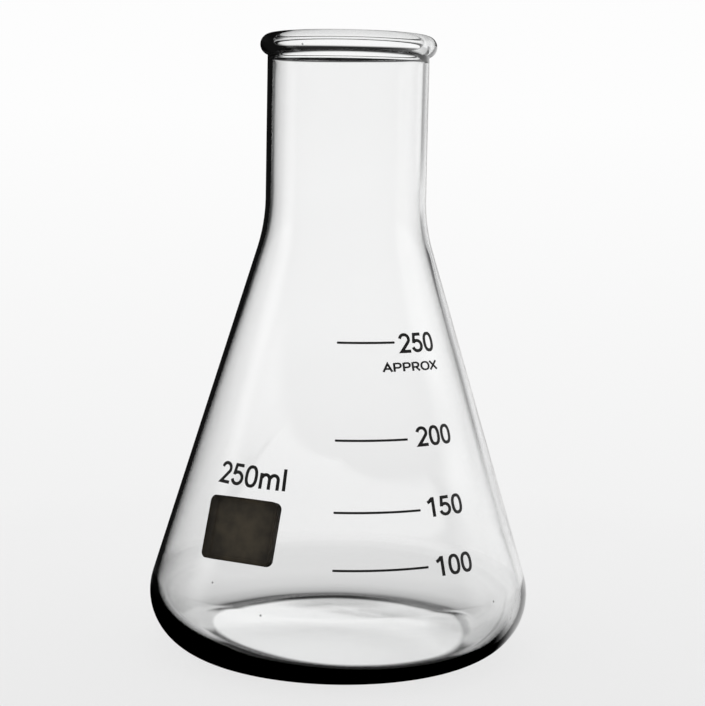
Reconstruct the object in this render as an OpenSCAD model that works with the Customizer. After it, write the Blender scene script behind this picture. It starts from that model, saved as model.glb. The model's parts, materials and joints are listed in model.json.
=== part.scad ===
// Conical flask, 250 ml, narrow neck, blown borosilicate glass with fired enamel marks.
// Millimetres. +Z is up, z = 0 is the surface it stands on, the axis of the glass is the Z axis.
// The marks face -Y, which is the front.

/* [Body] */
// Widest diameter of the body, at the heel
body_diameter = 86; // [80:0.5:92]
// Height of the whole flask, from the foot to the crest of the rim
flask_height = 138; // [128:1:160]
// Height at which the straight cone would meet the straight neck
shoulder_height = 96.3; // [88:0.1:104]
// Radius of the blend from the cone into the neck
shoulder_radius = 39; // [15:1:48]
// Outside radius of the heel, where the cone turns into the base
heel_radius = 13; // [9:0.5:16]
// Inside radius of the heel
inner_heel_radius = 11; // [8:0.5:12.5]
// Thickness of the cone's wall
wall = 1.25; // [1.1:0.05:2.2]

/* [Base] */
// Thickness of the base
base_thickness = 2.9; // [1.6:0.1:3.4]
// Height by which the middle of the base is pushed up
punt_rise = 1.3; // [0.6:0.1:2]
// Inside radius of the flat ring that the flask stands on
foot_inner_radius = 26; // [18:0.5:27]

/* [Neck] */
// Outside diameter of the neck
neck_diameter = 35.9; // [34.6:0.1:38]
// Bore of the neck, which takes the stopper
bore_diameter = 33.5; // [30:0.1:34]
// Outside diameter of the beaded rim
bead_diameter = 39.2; // [38.6:0.1:42]
// Height of the beaded rim
bead_height = 4.7; // [3.6:0.1:5]

/* [Enamel] */
// Thickness of the fired enamel on the glass
enamel_thickness = 0.12; // [0.08:0.01:0.2]
// Width of a graduation line
line_width = 0.4; // [0.3:0.05:0.8]
// Distance from the front of the cone to where each line starts, to the left
line_start = 1.2; // [0:0.1:6]
// Height of the 250 ml line
line_250_height = 72.2; // [66:0.1:76]
// Length of the 250 ml line
line_250_length = 12.4; // [8:0.1:20]
// Height of the 200 ml line
line_200_height = 52.3; // [46:0.1:58]
// Length of the 200 ml line
line_200_length = 15.6; // [8:0.1:24]
// Height of the 150 ml line
line_150_height = 37.9; // [34:0.1:42]
// Length of the 150 ml line
line_150_length = 18.7; // [8:0.1:28]
// Height of the 100 ml line
line_100_height = 26.5; // [24:0.1:30]
// Length of the 100 ml line
line_100_length = 20.6; // [8:0.1:30]
// Width of the spot that is written on, round the cone
spot_width = 18.3; // [12:0.1:24]
// Height of the spot, along the cone
spot_height = 13.4; // [8:0.1:16]
// Radius of the spot's corners
spot_corner = 1.2; // [0.4:0.1:3]
// Height of the spot's middle above the foot
spot_middle = 32.7; // [32:0.1:60]
// Angle from the front to the spot's middle, to the left
spot_angle = 34; // [25:0.1:60]

/* [Hidden] */
$fn = 180;

glass_colour = "#dfe7e6";
line_colour = "#161615";
spot_colour = "#373226";

// How far a cutting shape runs past the face that it cuts
overrun = 1;
// Steps in each rounded corner of the spot
corner_steps = 8;
// Turn that brings the +X side of a shape to the front
front_turn = -90;

body_radius = body_diameter / 2;
neck_radius = neck_diameter / 2;
bore_radius = bore_diameter / 2;

// The cone runs from the shoulder corner to the heel circle, which it touches
heel_centre_radius = body_radius - heel_radius;
corner_run = heel_centre_radius - neck_radius;
corner_rise = shoulder_height - heel_radius;
cone_angle = atan2(corner_run, corner_rise) + asin(heel_radius / norm([corner_run, corner_rise]));
cone_foot_radius = neck_radius + shoulder_height * tan(cone_angle);

// The rim is half round outside, and rounds from its crest into the bore
rim_foot = flask_height - bead_height;
rim_round = bead_height / 2;
crest_radius = bead_diameter / 2 - rim_round;
lip_round = crest_radius - bore_radius;

// The pushed-up base is part of a large sphere
punt_radius = (pow(foot_inner_radius, 2) + pow(punt_rise, 2)) / (2 * punt_rise);

// Radius of the outside of the cone at a height
function cone_radius(z) = cone_foot_radius - z * tan(cone_angle);

// Angle in degrees of an arc round a radius
function arc_angle(length, radius) = length / radius * 180 / PI;

// Half section of a flask-shaped solid: base, heel, cone, shoulder and neck, filled to the axis
module flask_section(foot, foot_radius, heel, shoulder, neck, top) {
    slope = tan(cone_angle);
    heel_z = foot + heel;
    heel_r = foot_radius - heel_z * slope - heel / cos(cone_angle);
    heel_top = heel_z + heel * sin(cone_angle);
    shoulder_r = neck + shoulder;
    shoulder_z = (foot_radius - shoulder_r + shoulder / cos(cone_angle)) / slope;
    shoulder_foot = shoulder_z - shoulder * sin(cone_angle);
    translate([0, foot])
        square([heel_r, heel_top - foot]);
    intersection() {
        translate([heel_r, heel_z])
            circle(heel);
        translate([heel_r, foot - overrun])
            square([heel + overrun, heel_top - foot + overrun]);
    }
    polygon([
        [0, heel_top],
        [foot_radius - heel_top * slope, heel_top],
        [foot_radius - shoulder_foot * slope, shoulder_foot],
        [0, shoulder_foot],
    ]);
    difference() {
        translate([0, shoulder_foot])
            square([shoulder_r, shoulder_z - shoulder_foot]);
        translate([shoulder_r, shoulder_z])
            circle(shoulder);
    }
    translate([0, shoulder_z])
        square([neck, top - shoulder_z]);
}

// Half section of the rim: half round outside, quarter round from the crest into the bore
module rim_section() {
    translate([bore_radius, rim_foot])
        square([lip_round, bead_height - lip_round]);
    intersection() {
        translate([crest_radius, rim_foot + rim_round])
            circle(rim_round);
        translate([crest_radius, rim_foot - overrun])
            square([rim_round + overrun, bead_height + 2 * overrun]);
    }
    intersection() {
        translate([crest_radius, flask_height - lip_round])
            circle(lip_round);
        translate([bore_radius - overrun, flask_height - lip_round])
            square([lip_round + overrun, lip_round + overrun]);
    }
}

// The large circle whose top makes the pushed-up middle of the base
module punt_section(foot) {
    translate([0, foot + punt_rise - punt_radius])
        circle(punt_radius);
}

// The one piece of glass
module flask_body() {
    color(glass_colour)
        rotate_extrude() {
            difference() {
                flask_section(0, cone_foot_radius, heel_radius, shoulder_radius,
                    neck_radius, rim_foot + rim_round);
                punt_section(0);
                difference() {
                    flask_section(base_thickness, cone_foot_radius - wall / cos(cone_angle),
                        inner_heel_radius, shoulder_radius + wall,
                        bore_radius, flask_height + overrun);
                    punt_section(base_thickness);
                }
            }
            rim_section();
        }
}

// Half section of a band of enamel on the cone, of a height along the slope
module enamel_section(middle, height) {
    along = [-sin(cone_angle), cos(cone_angle)];
    outward = [cos(cone_angle), sin(cone_angle)];
    centre = [cone_radius(middle), middle];
    low = centre - along * height / 2;
    high = centre + along * height / 2;
    polygon([low, low + outward * enamel_thickness, high + outward * enamel_thickness, high]);
}

// A line of enamel part of the way round the cone
module graduation_line(height, length) {
    radius = cone_radius(height);
    color(line_colour)
        rotate([0, 0, front_turn - arc_angle(line_start, radius)])
            rotate_extrude(angle = arc_angle(length, radius))
                enamel_section(height, line_width);
}

module graduation_line_250() {
    graduation_line(line_250_height, line_250_length);
}

module graduation_line_200() {
    graduation_line(line_200_height, line_200_length);
}

module graduation_line_150() {
    graduation_line(line_150_height, line_150_length);
}

module graduation_line_100() {
    graduation_line(line_100_height, line_100_length);
}

// Rectangle with round corners, centred
module rounded_rectangle(width, height, corner) {
    points = [
        for (quarter = [0:3], step = [0:corner_steps])
            let (
                angle = 90 * quarter + 90 * step / corner_steps,
                side_x = (quarter == 0 || quarter == 3) ? 1 : -1,
                side_y = (quarter < 2) ? 1 : -1
            )
            [
                side_x * (width / 2 - corner) + corner * cos(angle),
                side_y * (height / 2 - corner) + corner * sin(angle),
            ]
    ];
    polygon(points);
}

// The spot that is written on, a skin of the cone cut to a rounded rectangle
module marking_spot() {
    color(spot_colour)
        rotate([0, 0, front_turn - spot_angle])
            intersection() {
                rotate_extrude()
                    enamel_section(spot_middle, spot_height + 2 * overrun);
                translate([cone_radius(spot_middle), 0, spot_middle])
                    rotate([0, 90 - cone_angle, 0])
                        linear_extrude(height = spot_width, center = true)
                            rounded_rectangle(spot_height, spot_width, spot_corner);
            }
}

flask_body();
graduation_line_250();
graduation_line_200();
graduation_line_150();
graduation_line_100();
marking_spot();
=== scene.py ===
"""A 250 ml conical flask of blown borosilicate glass, with fired enamel marks, on a pale floor."""
import json
import math

import bpy
from mathutils import Matrix, Vector


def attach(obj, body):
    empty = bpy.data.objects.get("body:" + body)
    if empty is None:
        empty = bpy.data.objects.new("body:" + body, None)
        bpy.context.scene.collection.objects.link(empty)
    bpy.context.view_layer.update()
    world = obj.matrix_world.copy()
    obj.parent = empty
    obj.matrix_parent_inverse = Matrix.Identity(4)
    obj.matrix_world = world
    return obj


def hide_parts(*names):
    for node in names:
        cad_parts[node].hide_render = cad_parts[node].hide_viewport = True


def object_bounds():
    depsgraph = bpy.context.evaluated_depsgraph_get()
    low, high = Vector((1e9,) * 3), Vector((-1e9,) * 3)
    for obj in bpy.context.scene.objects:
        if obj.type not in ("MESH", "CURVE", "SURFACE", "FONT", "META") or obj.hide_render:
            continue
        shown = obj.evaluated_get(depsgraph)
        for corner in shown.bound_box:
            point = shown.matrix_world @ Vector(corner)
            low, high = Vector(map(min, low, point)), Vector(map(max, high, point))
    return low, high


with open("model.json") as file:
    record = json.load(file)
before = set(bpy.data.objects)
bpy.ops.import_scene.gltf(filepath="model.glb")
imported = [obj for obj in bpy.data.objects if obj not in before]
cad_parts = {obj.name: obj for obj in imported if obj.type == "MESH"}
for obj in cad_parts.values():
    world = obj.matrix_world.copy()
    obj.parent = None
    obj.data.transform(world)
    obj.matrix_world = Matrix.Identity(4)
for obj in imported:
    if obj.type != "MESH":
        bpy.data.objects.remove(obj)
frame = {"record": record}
cad_low, cad_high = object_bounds()

MM = 0.001
# A whole turn in radians, and a quarter of one in degrees
TURN = 2 * math.pi
QUARTER_TURN = 90

# Sizes of the glass in millimetres, those of the solids that it stands for
BODY_RADIUS = cad_high.x / MM
FLASK_HEIGHT = cad_high.z / MM
NECK_RADIUS = 17.95
SHOULDER_HEIGHT = 96.3
SHOULDER_RADIUS = 39.0
HEEL_RADIUS = 13.0
WALL = 1.25
BASE_THICKNESS = 2.9
PUNT_RISE = 1.3
BEAD_RADIUS = 19.6
BEAD_HEIGHT = 4.7
BORE_RADIUS = next(m["dims"]["r_mm"] for m in frame["record"]["mounts"] if m["name"] == "neck_bore")
# Where the floor inside turns into the heel
INNER_FLOOR_RADIUS = 30.5
# How far blowing left the inside off centre to the left, at heights from the foot
INSIDE_SHIFT = [(4, 0), (25, 0.3), (60, 0.28), (90, 0.2), (105, 0.1), (128, 0.1), (134, 0)]
# How far it left the floor inside twisted, for each square millimetre of x times y, at heights
INSIDE_TWIST = [(8, 0.0007), (16, 0)]

# The cone touches the heel circle and runs to the corner of the shoulder
CORNER_RUN = BODY_RADIUS - HEEL_RADIUS - NECK_RADIUS
CORNER_RISE = SHOULDER_HEIGHT - HEEL_RADIUS
HEEL_TOUCH = math.asin(HEEL_RADIUS / math.hypot(CORNER_RUN, CORNER_RISE))
CONE_ANGLE = math.atan2(CORNER_RUN, CORNER_RISE) + HEEL_TOUCH
CONE_SLOPE = math.tan(CONE_ANGLE)
CONE_FOOT_RADIUS = NECK_RADIUS + SHOULDER_HEIGHT * CONE_SLOPE

# Segments round the glass, its longest step up the wall in millimetres, and the steps of its curves
SEGMENTS = 256
RING_STEP = 1.5
BASE_STEPS = 40
HEEL_STEPS = 36
SHOULDER_STEPS = 12
BEAD_STEPS = 24
LIP_STEPS = 8
# Points closer than this are one, in millimetres, or in lettering where a capital is 1 high
MERGE_REACH = 0.001

# Enamel in millimetres: how far it stands out of the glass, how far it is fused into it, and the
# width of the slices that let it bend round the cone
ENAMEL_PROUD = 0.08
ENAMEL_SUNK = 0.04
SLICE_WIDTH = 0.6
CORNER_STEPS = 8
# Mottling in fired enamel: its size in millimetres, its detail, the levels between which the light
# colour turns into the dark one, and how far it takes the roughness up and down
MOTTLE_SIZE = 3.0
MOTTLE_DETAIL = 3.0
MOTTLE_RANGE = (0.2, 1.35)
MOTTLE_ROUGHNESS = 0.1

# Graduation lines in millimetres: their width, corners and start to the right of the front, then the
# height and length of each
LINE_WIDTH = 0.48
LINE_CORNER = 0.12
LINE_START = -1.3
LINES = {"250": (72.2, 12.6), "200": (52.3, 15.8), "150": (37.9, 18.9), "100": (26.5, 20.8)}

# The spot that is written on, in millimetres, and its angle to the right of the front and its lean in
# degrees. Its colour is lightest at a place near its middle.
SPOT_WIDTH = 16.9
SPOT_HEIGHT = 13.5
SPOT_CORNER = 1.4
SPOT_MIDDLE = 32.8
SPOT_ANGLE = -33.7
SPOT_LEAN = -1.3
SPOT_LIGHTEST = (-19.0, -30.9, 32.4)

# Lettering: the characters and the weight of their strokes where a capital is 1 high, then in
# millimetres the height of a capital, the whole width, the start to the right of the front and the
# height of the middle
LETTERING = {
    "number_250": ("250", 0.165, 4.35, 9.7, 12.1, 72.0),
    "number_200": ("200", 0.165, 4.35, 9.8, 16.4, 52.7),
    "number_150": ("150", 0.165, 4.35, 9.7, 19.3, 38.3),
    "number_100": ("100", 0.165, 4.35, 9.8, 21.5, 26.4),
    "word_approx": ("APPROX", 0.2, 2.35, 14.4, 8.5, 67.2),
    "capacity_250_ml": ("250ml", 0.155, 4.8, 17.5, -29.0, 43.8),
}

# Waves that blowing left in the glass: their sizes across and up in millimetres, their detail, and
# their height in millimetres
WAVE_SIZES = (14.286, 14.286, 25)
WAVE_DETAIL = 1.0
WAVE_HEIGHT = 0.06
# Specks in the glass: their places and radius in millimetres, and the light that their middle lets through
SPECKS = [(-26.54, -31.22, 21.48), (-15.94, -39.32, 16.78), (33.32, -26.09, 17.13),
          (37.66, -20.66, 11.97), (-9.81, -16.74, 134.75)]
SPECK_RADIUS = 0.34
SPECK_LEVEL = 0.15
# Borosilicate glass: how much it bends light, its tint, and how strongly that takes hold for each metre
GLASS_IOR = 1.473
GLASS_TINT = "#cfe9e2"
GLASS_DEPTH = 6.0

# Bounces of a ray, between whole numbers: any at all, a second one, and more than an edge of the wall takes
ANY_BOUNCE = 0.5
SECOND_BOUNCE = 1.5
EDGE_BOUNCES = 4.5
# Share of the brightness that is left once glass has mirrored it twice
TWICE_MIRRORED_SHARE = 0.02

# Floor in millimetres: its reach, where its edge starts to fade and its drop below the foot, then its
# sides, its colour and how much of it the camera sees
FLOOR_RADIUS = 200
FLOOR_FADE_RADIUS = 140
FLOOR_GAP = 0.1
FLOOR_SIDES = 96
FLOOR_COLOUR = "#ececec"
FLOOR_SHADOW_SHARE = 0.12
# Painted light and shadow on the floor as the glass shows it, by distance from the axis in millimetres
# A painted pool of light under the base, then a painted shadow ring round the foot
FLOOR_PAINTED_LEVELS = [(29.2, 1.12), (30.8, 0.01), (33, 0.05), (34.6, 0.05), (36, 0.12), (37, 0.35),
                (38, 0.5), (39.5, 0.6), (42, 0.66), (44, 0.72), (47, 0.78), (60, 0.86)]
# Where the painted shadow ring opens to either side: its least brightness there, and the distances from
# the axis, and the shares of them that run sideways, between which that sets in
FLOOR_SIDE_LEVEL = 0.72
FLOOR_SIDE_RADII = (31.5, 34)
FLOOR_SIDE_SHARES = (0.72, 0.88)
# The shares sideways between which the painted shade is no darker than that at any distance
FLOOR_END_SHARES = (0.9, 0.975)
# Painted shade on the left side of the floor: the share of its brightness that is left, by millimetres to
# the right of the axis
FLOOR_LEFT_LEVELS = [(-105, 0.95), (-85, 0.6), (-70, 0.4), (-60, 0.4), (-53, 0.6), (-46, 0.82),
                     (-40, 0.95)]
# How far out glass still shows the floor, from whole to not at all
FLOOR_SEEN_RADII = (70, 118)
# The part of the floor that glass mirrors as dark, in degrees to the right of the front, and how
# softly it ends
FLOOR_SHADE_ANGLES = (-140, 84)
FLOOR_SHADE_SOFT = 12

# Backdrop: two heights in degrees above the horizon and the brightness at each
BACKDROP_HEIGHTS = (-18.4, 1.5)
BACKDROP_LEVELS = (0.835, 0.982)
# The same as the glass shows it
GLASS_LEVELS = [(-18.4, 0.87), (-12.9, 0.9), (-10.9, 0.92), (-8.1, 1.0), (-5.4, 1.05), (-3, 1.045),
                (1.5, 1.015)]
# Heights in degrees between which the surroundings turn dark, and how dark
DARK_HEIGHTS = (17, 24)
DARK_LEVEL = 0.02
# The front: the angle at which it starts to either side and the brightness there, how softly it
# starts as a share of a ray's way, and its brightness where glass mirrors it
FRONT_ANGLE = 89
FRONT_LEVEL = 0.9
FRONT_SOFT = 0.15
FRONT_MIRRORED = 0.07

# Brightness behind the flask, by degrees to the right of straight behind it, below and above two
# heights in degrees between which one gives way to the other
LOW_HEIGHTS = (-3, 0)
LOW_WINDOWS = [(-48, 0.9), (-44, 0.02), (-40, 0.02), (-32, 0.12), (-25, 0.3), (-22, 0.39), (-18, 0.58),
               (-15, 0.73), (-11.3, 0.88), (-6, 0.97), (20, 1), (27, 0.95), (32, 0.85), (36, 0.85),
               (40, 1), (53, 1), (58, 0.02), (75, 0.02), (79, 0.9)]
HIGH_WINDOWS = [(-48, 0.9), (-44, 0.02), (-29, 0.02), (-25, 0.036), (-21, 0.08), (-19.2, 0.155),
                (-16.7, 0.26), (-15.4, 0.4), (-14.6, 0.54), (-14, 0.67), (-12.9, 0.76), (-12.2, 0.83),
                (-8, 0.95), (-4, 1), (22, 1), (28, 0.8), (33, 0.5), (38, 0.3), (47, 0.2), (51, 0.8),
                (57, 0.8), (61, 0.1), (75, 0.1), (79, 0.9)]
# The same lower still, where it is light but for a soft gap on the left
BASE_HEIGHTS = (-9.5, -6.5)
BASE_WINDOWS = [(-42, 1), (-36, 0.88), (-30, 0.8), (-22, 0.78), (-15, 0.82), (-11.3, 0.88), (-6, 0.97),
                (0, 1), (75, 1)]
# The same for what the wall mirrors within itself at an edge
EDGE_HEIGHTS = (-1.5, 1)
EDGE_LOW = [(-75, 0.006), (3, 0.006), (8, 0.5), (14, 1), (26, 1), (33, 0.85), (44, 0.85), (50, 1),
            (75, 0.8)]
EDGE_HIGH = [(-75, 0.006), (3, 0.006), (8, 0.5), (14, 0.9), (24, 1), (28, 0.8), (32, 0.5), (36, 0.3),
             (39, 0.4), (42, 0.95), (75, 0.8)]
# The same higher up, where only the bead shows it
BEAD_HEIGHTS = (3.6, 4.8)
BEAD_WINDOWS = [(-75, 0.006), (8, 0.006), (14, 0.04), (34, 0.04), (40, 0.6), (75, 0.8)]
# The same for what is mirrored deeper in, and the brightness low down that is added to it, by height
DEEP_HEIGHTS = (-2, 1)
DEEP_LOW = [(-75, 0.02), (75, 0.05)]
DEEP_HIGH = [(-75, 0.02), (-40, 0.02), (-22, 0.9), (7, 0.9), (9, 0.02), (75, 0.02)]
DEEP_GLOW = [(-16, 0.55), (-12.5, 0.0)]
# Brightness on the camera's side, by degrees to either side of straight in front
FRONT_WINDOWS = [(-75, 0.1), (-60, 0.1), (-55, 0.9), (-35, 0.9), (-30, 0.1), (-15, 0.1), (-10, 0.9),
                 (10, 0.9), (15, 0.1), (30, 0.1), (35, 0.9), (55, 0.9), (60, 0.1), (75, 0.1)]

# Camera, in millimetres and degrees
CAMERA_PLACE = (0.0, -375.99, 110.15)
CAMERA_DOWN = 6.52
CAMERA_RIGHT = 0.333
CAMERA_ROLL = 1.145
CAMERA_LENS = 85.24
CAMERA_NEAR = 10

# Settings that more than one node has
PRODUCT = {"operation": "MULTIPLY"}
OVER = {"operation": "GREATER_THAN"}
UNDER = {"operation": "LESS_THAN"}
ANGLE = {"operation": "ARCTAN2"}
DEGREES = {"operation": "DEGREES"}
APART = {"operation": "DISTANCE"}
SOFT = {"interpolation_type": "SMOOTHSTEP"}


def linear(hex_colour):
    """The linear colour of an sRGB hex value."""
    parts = [int(hex_colour[i:i + 2], 16) / 255 for i in (1, 3, 5)]
    return tuple(p / 12.92 if p <= 0.04045 else ((p + 0.055) / 1.055) ** 2.4 for p in parts) + (1.0,)


def add_node(tree, kind, settings=None, inputs=None):
    """A new node with its settings, and its inputs set to values or linked from sockets.

    Inputs go by name, or by number where names repeat. A Map Range takes a value, two limits and the
    levels at them. A Mix takes a share, then 2 and 3 for numbers or 6 and 7 for colours.
    """
    node = tree.nodes.new(kind)
    for name, value in (settings or {}).items():
        setattr(node, name, value)
    for name, value in (inputs or {}).items():
        if isinstance(value, bpy.types.NodeSocket):
            tree.links.new(value, node.inputs[name])
        else:
            node.inputs[name].default_value = value
    return node


def new_material(name):
    """A material with an empty node tree, and its output node."""
    material = bpy.data.materials.new(name)
    material.use_nodes = True
    material.node_tree.nodes.clear()
    output = material.node_tree.nodes.new("ShaderNodeOutputMaterial")
    return material, material.node_tree, output


def deselect():
    """Leaves nothing selected, in object mode."""
    if bpy.context.object is not None and bpy.context.object.mode != "OBJECT":
        bpy.ops.object.mode_set(mode="OBJECT")
    bpy.ops.object.select_all(action="DESELECT")


def start_piece(name):
    """Names the new primitive and goes into edit mode with all of it selected."""
    piece = bpy.context.object
    piece.name = name
    piece.data.name = name
    bpy.ops.object.transform_apply(location=True, rotation=True, scale=True)
    bpy.ops.object.mode_set(mode="EDIT")
    bpy.ops.mesh.select_all(action="SELECT")
    return piece


def cone_radius(height):
    """Radius of the outside of the cone, in millimetres."""
    return CONE_FOOT_RADIUS - height * CONE_SLOPE


def arc(centre, radius, start, end, steps):
    """Points on an arc of the half section, from one angle to another in degrees."""
    angles = [math.radians(start + (end - start) * i / steps) for i in range(steps + 1)]
    return [(centre[0] + radius * math.cos(a), centre[1] + radius * math.sin(a)) for a in angles]


def stretch(points):
    """The same line with points no further apart than the ring step."""
    dense = [points[0]]
    for near, far in zip(points, points[1:]):
        run = far[0] - near[0]
        rise = far[1] - near[1]
        steps = max(1, math.ceil(math.hypot(run, rise) / RING_STEP))
        for i in range(1, steps + 1):
            dense.append((near[0] + run * i / steps, near[1] + rise * i / steps))
    return dense


def base_line(rim, low):
    """Half section of one side of the pushed-up base, from its middle to its rim."""
    shares = [step / BASE_STEPS for step in range(BASE_STEPS + 1)]
    return [(rim * s, low + PUNT_RISE * (1 - s ** 2) ** 2) for s in shares]


def heel_line(edge, low, foot_radius):
    """Half section of one side of the heel, an arc from the edge of the base into the cone."""
    reach = (foot_radius - edge) * math.cos(CONE_ANGLE) - low * math.sin(CONE_ANGLE)
    radius = reach / (1 + math.sin(CONE_ANGLE))
    return arc((edge, low + radius), radius, -90, math.degrees(CONE_ANGLE), HEEL_STEPS)[1:]


def neck_line(foot_radius, shoulder, neck, top):
    """Half section of one side of the shoulder and neck, up from the cone."""
    shoulder_r = neck + shoulder
    shoulder_z = (foot_radius - shoulder_r + shoulder / math.cos(CONE_ANGLE)) / CONE_SLOPE
    lean = math.degrees(CONE_ANGLE)
    return arc((shoulder_r, shoulder_z), shoulder, 180 + lean, 180, SHOULDER_STEPS) + [(neck, top)]


def flask_lines():
    """Half section of the whole wall: up the outside and over the rim, then down the inside."""
    rim_round = BEAD_HEIGHT / 2
    crest = BEAD_RADIUS - rim_round
    lip_round = crest - BORE_RADIUS
    lip_foot = FLASK_HEIGHT - lip_round
    rim_middle = FLASK_HEIGHT - rim_round
    bead_start = -math.degrees(math.acos((NECK_RADIUS - crest) / rim_round))
    bead_foot = rim_middle - math.sqrt(rim_round ** 2 - (NECK_RADIUS - crest) ** 2)
    outside = base_line(BODY_RADIUS - HEEL_RADIUS, 0)
    outside += heel_line(BODY_RADIUS - HEEL_RADIUS, 0, CONE_FOOT_RADIUS)
    outside += neck_line(CONE_FOOT_RADIUS, SHOULDER_RADIUS, NECK_RADIUS, bead_foot)
    rim = arc((crest, rim_middle), rim_round, bead_start, 90, BEAD_STEPS)[1:]
    rim += arc((crest, lip_foot), lip_round, 90, 180, LIP_STEPS)[1:]
    inner_foot_radius = CONE_FOOT_RADIUS - WALL / math.cos(CONE_ANGLE)
    inside = base_line(INNER_FLOOR_RADIUS, BASE_THICKNESS)
    inside += heel_line(INNER_FLOOR_RADIUS, BASE_THICKNESS, inner_foot_radius)
    inside += neck_line(inner_foot_radius, SHOULDER_RADIUS + WALL, BORE_RADIUS, lip_foot)
    return stretch(outside) + rim, stretch(inside)[::-1][1:]


def between(points, place):
    """The level at a place, straight from point to point and steady past the ends."""
    if place <= points[0][0]:
        return points[0][1]
    for (near, low), (far, high) in zip(points, points[1:]):
        if place <= far:
            return low + (high - low) * (place - near) / (far - near)
    return points[-1][1]


def make_flask():
    """The one piece of glass, its half section drawn point by point and spun round the axis."""
    outer_line, inner_line = flask_lines()
    line = [Vector((r, 0, z)) * MM for r, z in outer_line + inner_line]
    deselect()
    bpy.ops.mesh.primitive_plane_add(size=MM, location=line[0])
    piece = start_piece("blown_flask")
    bpy.ops.mesh.merge(type="CENTER")
    for step, (near, far) in enumerate(zip(line, line[1:]), 1):
        bpy.ops.mesh.extrude_region_move(TRANSFORM_OT_translate={"value": far - near})
        if step == len(outer_line):
            bpy.ops.object.vertex_group_assign_new()
    bpy.ops.mesh.select_all(action="SELECT")
    bpy.ops.mesh.spin(steps=SEGMENTS, angle=TURN, center=(0, 0, 0), axis=(0, 0, 1))
    bpy.ops.mesh.select_all(action="SELECT")
    bpy.ops.mesh.remove_doubles(threshold=MERGE_REACH * MM)
    bpy.ops.mesh.normals_make_consistent(inside=False)
    bpy.ops.object.mode_set(mode="OBJECT")
    for vertex in piece.data.vertices:
        if vertex.groups:
            x, y, z = vertex.co / MM
            vertex.co.x -= between(INSIDE_SHIFT, z) * MM
            vertex.co.z += between(INSIDE_TWIST, z) * x * y * MM
    piece.vertex_groups.clear()
    bpy.ops.object.shade_smooth()
    return piece


def wrap_on_cone(piece, arc_middle, height, straight=False):
    """Slices a flat piece and lays it on the cone, at an arc length from the front and a height.

    A straight piece keeps straight edges as seen from in front of its middle. Any other bends round
    with the cone.
    """
    bpy.ops.object.mode_set(mode="EDIT")
    xs = [v.co.x for v in piece.data.vertices]
    cut = min(xs) + SLICE_WIDTH * MM
    while cut < max(xs):
        bpy.ops.mesh.select_all(action="SELECT")
        bpy.ops.mesh.bisect(plane_co=(cut, 0, 0), plane_no=(1, 0, 0))
        cut += SLICE_WIDTH * MM
    bpy.ops.object.mode_set(mode="OBJECT")
    radius = cone_radius(height)
    inward = math.sin(CONE_ANGLE)
    upward = math.cos(CONE_ANGLE)
    for vertex in piece.data.vertices:
        along, up, out = vertex.co / MM
        turn = along / radius
        if straight:
            turn = math.asin(along / (radius - up * inward))
            up -= inward * radius * (1 - math.cos(turn))
            turn = math.asin(along / (radius - up * inward))
        angle = arc_middle / radius + turn
        z = height + up * upward + out * inward
        r = radius - up * inward + out * upward
        vertex.co = Vector((r * math.sin(angle), -r * math.cos(angle), z)) * MM
    piece.data.update()


def make_patch(name, width, height, corner, arc_middle, middle, lean=0.0, straight=False):
    """A flat patch of enamel with round corners, leaning a little to one side, laid on the cone."""
    thickness = ENAMEL_PROUD + ENAMEL_SUNK
    deselect()
    bpy.ops.mesh.primitive_cube_add(size=1, location=(0, 0, (ENAMEL_PROUD - thickness / 2) * MM))
    bpy.context.object.scale = (width * MM, height * MM, thickness * MM)
    piece = start_piece(name)
    bpy.ops.mesh.select_all(action="DESELECT")
    bpy.ops.object.mode_set(mode="OBJECT")
    for edge in piece.data.edges:
        ends = [piece.data.vertices[i].co for i in edge.vertices]
        edge.select = abs(ends[0].z - ends[1].z) > thickness * MM / 2
    bpy.ops.object.mode_set(mode="EDIT")
    bpy.ops.mesh.bevel(offset=corner * MM, segments=CORNER_STEPS, affect="EDGES")
    bpy.ops.mesh.select_all(action="SELECT")
    bpy.ops.transform.rotate(value=math.radians(lean), orient_axis="Z", center_override=(0, 0, 0))
    wrap_on_cone(piece, arc_middle, middle, straight)
    return piece


def bow(centre, reach, start, end, steps, power=2.0):
    """Points on an oval arc from one angle to another in degrees, squarer for a higher power."""
    points = []
    for i in range(steps + 1):
        angle = math.radians(start + (end - start) * i / steps)
        shares = [math.copysign(abs(s) ** (2 / power), s) for s in (math.cos(angle), math.sin(angle))]
        points.append((centre[0] + reach[0] * shares[0], centre[1] + reach[1] * shares[1]))
    return points


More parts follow.
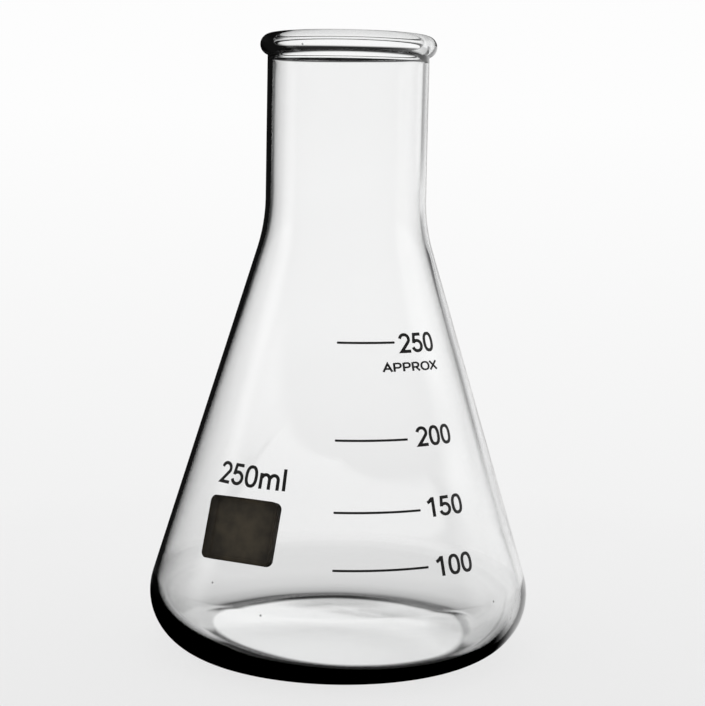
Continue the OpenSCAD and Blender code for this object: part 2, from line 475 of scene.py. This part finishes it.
# Printed characters as strokes of a plain upright face, where a capital is 1 high: the step to the
# next character, and the middle line of each stroke
STEM = [(0.17, 0), (0.17, 1)]
BOWL = [(0.24, 0.94)] + bow((0.55, 0.69), (0.25, 0.25), 90, -90, 12) + [(0.24, 0.44)]
GLYPHS = {
    "0": (0.777, [bow((0.387, 0.5), (0.266, 0.44), 0, 360, 32, 2.4)]),
    "1": (0.777, [[(0.459, 0), (0.459, 1)], [(0.152, 0.735), (0.28, 0.8), (0.41, 0.93)]]),
    "2": (0.777, [bow((0.375, 0.695), (0.27, 0.245), 170, -30, 16) + [(0.16, 0.065), (0.70, 0.065)]]),
    "5": (0.777, [[(0.65, 0.93), (0.225, 0.93), (0.155, 0.47)],
                  bow((0.365, 0.335), (0.285, 0.27), 132, -165, 22)]),
    "m": (1.163, [[(0.15, 0), (0.15, 0.725)],
                  bow((0.38, 0.46), (0.2, 0.205), 165, 0, 12) + [(0.58, 0)],
                  bow((0.81, 0.46), (0.2, 0.205), 165, 0, 12) + [(1.01, 0)]]),
    "l": (0.31, [[(0.155, 0), (0.155, 1)]]),
    "A": (0.93, [[(0.06, 0), (0.465, 0.94), (0.87, 0)], [(0.25, 0.34), (0.68, 0.34)]]),
    "P": (0.93, [STEM, BOWL]),
    "R": (1.0, [STEM, BOWL, [(0.55, 0.38), (0.87, 0)]]),
    "O": (1.087, [bow((0.543, 0.5), (0.43, 0.44), 0, 360, 32, 2.2)]),
    "X": (0.93, [[(0.05, 0), (0.88, 1)], [(0.07, 1), (0.87, 0)]]),
}


def make_lettering(name, words, weight, cap_height, width, arc_left, middle):
    """Printed characters, drawn stroke by stroke and laid on the cone from their left edge."""
    deselect()
    bpy.ops.mesh.primitive_plane_add(size=weight)
    piece = start_piece(name)
    bpy.ops.mesh.delete(type="VERT")
    left = 0.0
    for letter in words:
        step, strokes = GLYPHS[letter]
        for stroke in strokes:
            points = [Vector((left + x, y, 0)) for x, y in stroke]
            bpy.ops.mesh.primitive_plane_add(size=weight, location=points[0])
            bpy.ops.mesh.merge(type="CENTER")
            for near, far in zip(points, points[1:]):
                bpy.ops.mesh.extrude_region_move(TRANSFORM_OT_translate={"value": far - near})
        left += step
    bpy.ops.mesh.select_all(action="SELECT")
    bpy.ops.mesh.remove_doubles(threshold=MERGE_REACH)
    bpy.ops.mesh.extrude_region_move(TRANSFORM_OT_translate={"value": (0, 0, weight)})
    bpy.ops.mesh.select_all(action="SELECT")
    bpy.ops.mesh.normals_make_consistent(inside=False)
    bpy.ops.object.mode_set(mode="OBJECT")
    ribbon = piece.modifiers.new("stroke", "SOLIDIFY")
    ribbon.thickness = weight
    ribbon.offset = 0
    ribbon.use_even_offset = True
    bpy.ops.object.modifier_apply(modifier="stroke")
    bpy.ops.object.mode_set(mode="EDIT")
    bpy.ops.mesh.select_all(action="SELECT")
    bpy.ops.mesh.normals_make_consistent(inside=False)
    bpy.ops.object.mode_set(mode="OBJECT")
    low = Vector([min(v.co[i] for v in piece.data.vertices) for i in range(3)])
    high = Vector([max(v.co[i] for v in piece.data.vertices) for i in range(3)])
    for vertex in piece.data.vertices:
        x = (vertex.co.x - low.x) / (high.x - low.x) * width
        y = ((vertex.co.y - low.y) / (high.y - low.y) - 0.5) * cap_height
        z = ENAMEL_PROUD if vertex.co.z > weight / 2 else -ENAMEL_SUNK
        vertex.co = Vector((x, y, z)) * MM
    wrap_on_cone(piece, arc_left, middle)
    return piece


def make_glass():
    """Borosilicate glass, blown and fire-polished.

    It is clear, colder where it is thick and a little wavy, with a few specks.
    """
    material, tree, output = new_material("borosilicate_glass")
    place = add_node(tree, "ShaderNodeTexCoord").outputs["Object"]
    drawn = add_node(tree, "ShaderNodeMapping", inputs={
        "Vector": place, "Scale": [1 / (size * MM) for size in WAVE_SIZES]}).outputs[0]
    waves = add_node(tree, "ShaderNodeTexNoise", inputs={
        "Vector": drawn, "Scale": 1.0, "Detail": WAVE_DETAIL}).outputs[0]
    wavy = add_node(tree, "ShaderNodeBump", inputs={
        "Strength": 1.0, "Distance": WAVE_HEIGHT * MM, "Height": waves}).outputs[0]
    clear = 1.0
    for speck in SPECKS:
        off = add_node(tree, "ShaderNodeVectorMath", APART, {
            0: place, 1: Vector(speck) * MM}).outputs["Value"]
        ring = add_node(tree, "ShaderNodeMapRange", inputs={
            0: off, 1: SPECK_RADIUS / 2 * MM, 2: SPECK_RADIUS * MM, 3: SPECK_LEVEL, 4: 1.0}).outputs[0]
        clear = add_node(tree, "ShaderNodeMath", PRODUCT, {0: clear, 1: ring}).outputs[0]
    shader = add_node(tree, "ShaderNodeBsdfPrincipled", inputs={
        "Base Color": clear, "Roughness": 0.0, "IOR": GLASS_IOR, "Transmission Weight": 1.0,
        "Normal": wavy})
    tint = add_node(tree, "ShaderNodeVolumeAbsorption", inputs={
        "Color": linear(GLASS_TINT), "Density": GLASS_DEPTH})
    tree.links.new(shader.outputs["BSDF"], output.inputs["Surface"])
    tree.links.new(tint.outputs[0], output.inputs["Volume"])
    return material


def make_enamel(name, light, dark, roughness, lightest=(0, 0, 0), pull=0.0):
    """Enamel fired onto glass: a dark film with a soft gloss, mottled from firing.

    With a pull, for each millimetre, it gets darker away from its lightest place.
    """
    material, tree, output = new_material(name)
    place = add_node(tree, "ShaderNodeTexCoord").outputs["Object"]
    mottle = add_node(tree, "ShaderNodeTexNoise", inputs={
        "Vector": place, "Scale": 1 / (MOTTLE_SIZE * MM), "Detail": MOTTLE_DETAIL}).outputs[0]
    off = add_node(tree, "ShaderNodeVectorMath", APART, {
        0: place, 1: Vector(lightest) * MM}).outputs["Value"]
    share = add_node(tree, "ShaderNodeMath", {"operation": "MULTIPLY_ADD"}, {
        0: off, 1: pull / MM, 2: mottle}).outputs[0]
    share = add_node(tree, "ShaderNodeMapRange", SOFT, {
        0: share, 1: MOTTLE_RANGE[0], 2: MOTTLE_RANGE[1]}).outputs[0]
    colour = add_node(tree, "ShaderNodeMix", {"data_type": "RGBA"}, {
        0: share, 6: linear(light), 7: linear(dark)}).outputs[2]
    rough = add_node(tree, "ShaderNodeMapRange", inputs={
        0: mottle, 3: roughness - MOTTLE_ROUGHNESS, 4: roughness + MOTTLE_ROUGHNESS}).outputs[0]
    shader = add_node(tree, "ShaderNodeBsdfPrincipled", inputs={"Base Color": colour, "Roughness": rough})
    tree.links.new(shader.outputs["BSDF"], output.inputs["Surface"])
    return material


def finish_piece(piece, material, slot, *nodes):
    """Gives a piece its material, hangs it on the body and hides the solids it stands for. The slot is not
    used.
    """
    piece.data.materials.clear()
    piece.data.materials.append(material)
    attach(piece, "root")
    if nodes:
        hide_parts(*nodes)


def make_camera():
    """The camera at the photograph's place."""
    down, right, roll = (math.radians(a) for a in (CAMERA_DOWN, CAMERA_RIGHT, CAMERA_ROLL))
    ahead = Vector((math.sin(right) * math.cos(down), math.cos(right) * math.cos(down), -math.sin(down)))
    side = Vector((math.cos(right), -math.sin(right), 0))
    up = side.cross(ahead)
    turned_side = side * math.cos(roll) + up * math.sin(roll)
    turned_up = up * math.cos(roll) - side * math.sin(roll)
    data = bpy.data.cameras.new("camera")
    data.lens = CAMERA_LENS
    data.clip_start = CAMERA_NEAR * MM
    camera = bpy.data.objects.new("camera", data)
    bpy.context.scene.collection.objects.link(camera)
    axes = Matrix((turned_side, turned_up, -ahead)).transposed().to_4x4()
    camera.matrix_world = Matrix.Translation(Vector(CAMERA_PLACE) * MM) @ axes
    bpy.context.scene.camera = camera


def brightness_along(tree, value, stops, low, high):
    """Brightness that follows a value between two limits, straight from stop to stop."""
    share = add_node(tree, "ShaderNodeMapRange", inputs={0: value, 1: low, 2: high}).outputs[0]
    ramp = add_node(tree, "ShaderNodeValToRGB", inputs={0: share})
    for element, level in zip(ramp.color_ramp.elements, (stops[0][1], stops[-1][1])):
        element.color = (level,) * 3 + (1,)
    for place, level in stops:
        ramp.color_ramp.elements.new((place - low) / (high - low)).color = (level,) * 3 + (1,)
    return ramp.outputs[0]


def straight_from_glass(tree, rays):
    """1 for a ray that comes from glass or gloss with no dull surface between, and 0 for any other."""
    direct = add_node(tree, "ShaderNodeMath", UNDER, {0: rays["Diffuse Depth"], 1: ANY_BOUNCE}).outputs[0]
    return add_node(tree, "ShaderNodeMath", PRODUCT, {0: rays["Is Glossy Ray"], 1: direct}).outputs[0]


def floor_in_glass(tree, axes, reach, rays):
    """The floor as the glass shows it: painted light under the base, a painted shadow ring round the foot,
    open at its sides.
    """
    across = add_node(tree, "ShaderNodeMath", PRODUCT, {0: axes["X"], 1: 1 / MM}).outputs[0]
    sideways = add_node(tree, "ShaderNodeMath", {"operation": "DIVIDE"}, {0: across, 1: reach}).outputs[0]
    sideways = add_node(tree, "ShaderNodeMath", {"operation": "ABSOLUTE"}, {0: sideways}).outputs[0]
    open_side = add_node(tree, "ShaderNodeMapRange", SOFT, {
        0: sideways, 1: FLOOR_SIDE_SHARES[0], 2: FLOOR_SIDE_SHARES[1], 4: FLOOR_SIDE_LEVEL}).outputs[0]
    outside = add_node(tree, "ShaderNodeMapRange", SOFT, {
        0: reach, 1: FLOOR_SIDE_RADII[0], 2: FLOOR_SIDE_RADII[1]}).outputs[0]
    open_side = add_node(tree, "ShaderNodeMath", PRODUCT, {0: open_side, 1: outside}).outputs[0]
    open_end = add_node(tree, "ShaderNodeMapRange", SOFT, {
        0: sideways, 1: FLOOR_END_SHARES[0], 2: FLOOR_END_SHARES[1], 4: FLOOR_SIDE_LEVEL}).outputs[0]
    lit = brightness_along(tree, reach, FLOOR_PAINTED_LEVELS, 0, FLOOR_RADIUS)
    for part in (open_side, open_end):
        lit = add_node(tree, "ShaderNodeMath", {"operation": "MAXIMUM"}, {0: lit, 1: part}).outputs[0]
    # Painted shade on the left side of the floor
    left_shade = brightness_along(tree, across, FLOOR_LEFT_LEVELS, -FLOOR_RADIUS, 0)
    lit = add_node(tree, "ShaderNodeMath", PRODUCT, {0: lit, 1: left_shade}).outputs[0]
    front = add_node(tree, "ShaderNodeMath", PRODUCT, {0: axes["Y"], 1: -1.0}).outputs[0]
    turn = add_node(tree, "ShaderNodeMath", ANGLE, {0: axes["X"], 1: front}).outputs[0]
    turn = add_node(tree, "ShaderNodeMath", DEGREES, {0: turn}).outputs[0]
    shade = add_node(tree, "ShaderNodeMath", OVER, {0: rays["Glossy Depth"], 1: ANY_BOUNCE}).outputs[0]
    for angle, start, end in zip(FLOOR_SHADE_ANGLES, (0.0, 1.0), (1.0, 0.0)):
        step = add_node(tree, "ShaderNodeMapRange", SOFT, {
            0: turn, 1: angle - FLOOR_SHADE_SOFT, 2: angle + FLOOR_SHADE_SOFT, 3: start, 4: end}).outputs[0]
        shade = add_node(tree, "ShaderNodeMath", PRODUCT, {0: shade, 1: step}).outputs[0]
    unshaded = add_node(tree, "ShaderNodeMath", {"operation": "SUBTRACT"}, {0: 1.0, 1: shade}).outputs[0]
    lit = add_node(tree, "ShaderNodeMath", PRODUCT, {0: lit, 1: unshaded}).outputs[0]
    once = add_node(tree, "ShaderNodeMath", UNDER, {0: rays["Glossy Depth"], 1: SECOND_BOUNCE}).outputs[0]
    return add_node(tree, "ShaderNodeMix", inputs={0: once, 2: TWICE_MIRRORED_SHARE, 3: lit}).outputs[0]


def make_floor():
    """A pale floor that takes the soft shadow of the flask and fades into the surroundings."""
    deselect()
    bpy.ops.mesh.primitive_circle_add(vertices=FLOOR_SIDES, radius=FLOOR_RADIUS * MM, fill_type="NGON",
                                      location=(0, 0, -FLOOR_GAP * MM))
    floor = start_piece("floor")
    bpy.ops.object.mode_set(mode="OBJECT")
    material, tree, output = new_material("pale_floor")
    place = add_node(tree, "ShaderNodeTexCoord").outputs["Object"]
    axes = add_node(tree, "ShaderNodeSeparateXYZ", inputs={0: place}).outputs
    rays = add_node(tree, "ShaderNodeLightPath").outputs
    reach = add_node(tree, "ShaderNodeVectorMath", {"operation": "LENGTH"}, {0: place}).outputs["Value"]
    reach = add_node(tree, "ShaderNodeMath", PRODUCT, {0: reach, 1: 1 / MM}).outputs[0]
    # Glass sees the floor glow with painted light and shade; the camera sees it take a real soft shadow
    lit = floor_in_glass(tree, axes, reach, rays)
    shown = add_node(tree, "ShaderNodeEmission", inputs={0: lit}).outputs[0]
    pale = add_node(tree, "ShaderNodeBsdfDiffuse", inputs={0: linear(FLOOR_COLOUR)}).outputs[0]
    clear = add_node(tree, "ShaderNodeBsdfTransparent").outputs[0]
    near = add_node(tree, "ShaderNodeMapRange", SOFT, {
        0: reach, 1: FLOOR_SEEN_RADII[0], 2: FLOOR_SEEN_RADII[1], 3: 1.0, 4: 0.0}).outputs[0]
    shown = add_node(tree, "ShaderNodeMixShader", inputs={0: near, 1: clear, 2: shown}).outputs[0]
    through = straight_from_glass(tree, rays)
    sheet = add_node(tree, "ShaderNodeMixShader", inputs={0: through, 1: pale, 2: shown}).outputs[0]
    seen = add_node(tree, "ShaderNodeMapRange", inputs={
        0: rays["Is Camera Ray"], 3: 1.0, 4: FLOOR_SHADOW_SHARE}).outputs[0]
    edge = add_node(tree, "ShaderNodeMapRange", SOFT, {
        0: reach, 1: FLOOR_FADE_RADIUS, 2: FLOOR_RADIUS, 3: 1.0, 4: 0.0}).outputs[0]
    share = add_node(tree, "ShaderNodeMath", PRODUCT, {0: seen, 1: edge}).outputs[0]
    whole = add_node(tree, "ShaderNodeMixShader", inputs={0: share, 1: clear, 2: sheet}).outputs[0]
    tree.links.new(whole, output.inputs["Surface"])
    floor.data.materials.append(material)


def surroundings_in_glass(tree, axes, height, rays):
    """Brightness of the surroundings as the glass shows them: bright windows with dark gaps between."""
    forward = add_node(tree, "ShaderNodeMath", PRODUCT, {0: axes["Y"], 1: -1.0}).outputs[0]

    def windows(stops, ahead=axes["Y"]):
        """Brightness through half a turn, by degrees from straight ahead."""
        turn = add_node(tree, "ShaderNodeMath", ANGLE, {0: axes["X"], 1: ahead}).outputs[0]
        turn = add_node(tree, "ShaderNodeMath", DEGREES, {0: turn}).outputs[0]
        stops = [(-FRONT_ANGLE, FRONT_LEVEL)] + stops + [(FRONT_ANGLE, FRONT_LEVEL)]
        return brightness_along(tree, turn, stops, -QUARTER_TURN, QUARTER_TURN)

    def by_height(heights, low, high):
        """Brightness that goes from one level to another between two heights."""
        share = add_node(tree, "ShaderNodeMapRange", SOFT, {
            0: height, 1: heights[0], 2: heights[1]}).outputs[0]
        return add_node(tree, "ShaderNodeMix", inputs={0: share, 2: low, 3: high}).outputs[0]

    # What is seen straight through the glass
    behind = by_height(LOW_HEIGHTS, windows(LOW_WINDOWS), windows(HIGH_WINDOWS))
    behind = by_height(BASE_HEIGHTS, windows(BASE_WINDOWS), behind)
    front = windows(FRONT_WINDOWS, forward)
    side = add_node(tree, "ShaderNodeMapRange", SOFT, {
        0: forward, 1: -FRONT_SOFT, 2: FRONT_SOFT}).outputs[0]
    plain = add_node(tree, "ShaderNodeMix", inputs={0: side, 2: behind, 3: front}).outputs[0]

    # What the glass mirrors, at an edge of the wall or deeper in
    shallow = by_height(EDGE_HEIGHTS, windows(EDGE_LOW), windows(EDGE_HIGH))
    shallow = by_height(BEAD_HEIGHTS, shallow, windows(BEAD_WINDOWS))
    glow = brightness_along(tree, height, DEEP_GLOW, -QUARTER_TURN, QUARTER_TURN)
    deeper = by_height(DEEP_HEIGHTS, windows(DEEP_LOW), windows(DEEP_HIGH))
    deeper = add_node(tree, "ShaderNodeMath", {"operation": "ADD"}, {0: deeper, 1: glow}).outputs[0]
    deep = add_node(tree, "ShaderNodeMath", OVER, {0: rays["Ray Depth"], 1: EDGE_BOUNCES}).outputs[0]
    reflected = add_node(tree, "ShaderNodeMix", inputs={0: deep, 2: shallow, 3: deeper}).outputs[0]
    reflected = add_node(tree, "ShaderNodeMix", inputs={
        0: side, 2: reflected, 3: FRONT_MIRRORED}).outputs[0]

    # Both together, darker overhead except where the front is mirrored
    mirrored = add_node(tree, "ShaderNodeMath", OVER, {0: rays["Glossy Depth"], 1: ANY_BOUNCE}).outputs[0]
    around = add_node(tree, "ShaderNodeMix", inputs={0: mirrored, 2: plain, 3: reflected}).outputs[0]
    unroofed = add_node(tree, "ShaderNodeMath", PRODUCT, {0: mirrored, 1: side}).outputs[0]
    roof = add_node(tree, "ShaderNodeMapRange", SOFT, {
        0: height, 1: DARK_HEIGHTS[0], 2: DARK_HEIGHTS[1], 3: 1.0, 4: DARK_LEVEL}).outputs[0]
    roof = add_node(tree, "ShaderNodeMix", inputs={0: unroofed, 2: roof, 3: 1.0}).outputs[0]
    in_glass = brightness_along(tree, height, GLASS_LEVELS, -QUARTER_TURN, QUARTER_TURN)
    for part in (around, roof):
        in_glass = add_node(tree, "ShaderNodeMath", PRODUCT, {0: in_glass, 1: part}).outputs[0]
    again = add_node(tree, "ShaderNodeMath", PRODUCT, {0: plain, 1: TWICE_MIRRORED_SHARE}).outputs[0]
    once = add_node(tree, "ShaderNodeMath", UNDER, {0: rays["Glossy Depth"], 1: SECOND_BOUNCE}).outputs[0]
    return add_node(tree, "ShaderNodeMix", inputs={0: once, 2: again, 3: in_glass}).outputs[0]


def make_world():
    """Soft white surroundings that light the flask, with a pale backdrop for the camera."""
    world = bpy.data.worlds.new("studio")
    bpy.context.scene.world = world
    world.use_nodes = True
    tree = world.node_tree
    tree.nodes.clear()
    output = tree.nodes.new("ShaderNodeOutputWorld")
    place = add_node(tree, "ShaderNodeTexCoord").outputs["Generated"]
    axes = add_node(tree, "ShaderNodeSeparateXYZ", inputs={0: place}).outputs
    rays = add_node(tree, "ShaderNodeLightPath").outputs
    height = add_node(tree, "ShaderNodeMath", {"operation": "ARCSINE"}, {0: axes["Z"]}).outputs[0]
    height = add_node(tree, "ShaderNodeMath", DEGREES, {0: height}).outputs[0]
    in_glass = surroundings_in_glass(tree, axes, height, rays)
    through = straight_from_glass(tree, rays)
    lit = add_node(tree, "ShaderNodeMix", inputs={0: through, 2: 1.0, 3: in_glass}).outputs[0]
    backdrop = add_node(tree, "ShaderNodeMapRange", inputs={
        0: height, 1: BACKDROP_HEIGHTS[0], 2: BACKDROP_HEIGHTS[1],
        3: BACKDROP_LEVELS[0], 4: BACKDROP_LEVELS[1]}).outputs[0]
    shown = add_node(tree, "ShaderNodeMix", inputs={
        0: rays["Is Camera Ray"], 2: lit, 3: backdrop}).outputs[0]
    light = add_node(tree, "ShaderNodeBackground", inputs={"Color": shown, "Strength": 1.0})
    tree.links.new(light.outputs["Background"], output.inputs["Surface"])


deselect()
bpy.context.scene.view_settings.view_transform = "Standard"
make_camera()
glass = make_glass()
black_enamel = make_enamel("black_enamel", light="#1d1d1c", dark="#141413", roughness=0.4)
brown_enamel = make_enamel("brown_enamel", light="#453c2b", dark="#241f15", roughness=0.6,
                           lightest=SPOT_LIGHTEST, pull=0.05)

flask = make_flask()
finish_piece(flask, glass, "borosilicate_glass", "flask_body")

for mark, (height, length) in LINES.items():
    line = make_patch("line_" + mark, length, LINE_WIDTH, LINE_CORNER, LINE_START + length / 2, height)
    finish_piece(line, black_enamel, "black_enamel", "graduation_line_" + mark)

spot_arc = math.radians(SPOT_ANGLE) * cone_radius(SPOT_MIDDLE)
spot = make_patch("writing_spot", SPOT_WIDTH, SPOT_HEIGHT, SPOT_CORNER, spot_arc, SPOT_MIDDLE,
                  lean=SPOT_LEAN, straight=True)
finish_piece(spot, brown_enamel, "brown_enamel", "marking_spot")

for name, sizes in LETTERING.items():
    lettering = make_lettering(name, *sizes)
    finish_piece(lettering, black_enamel, "black_enamel")

make_floor()
make_world()
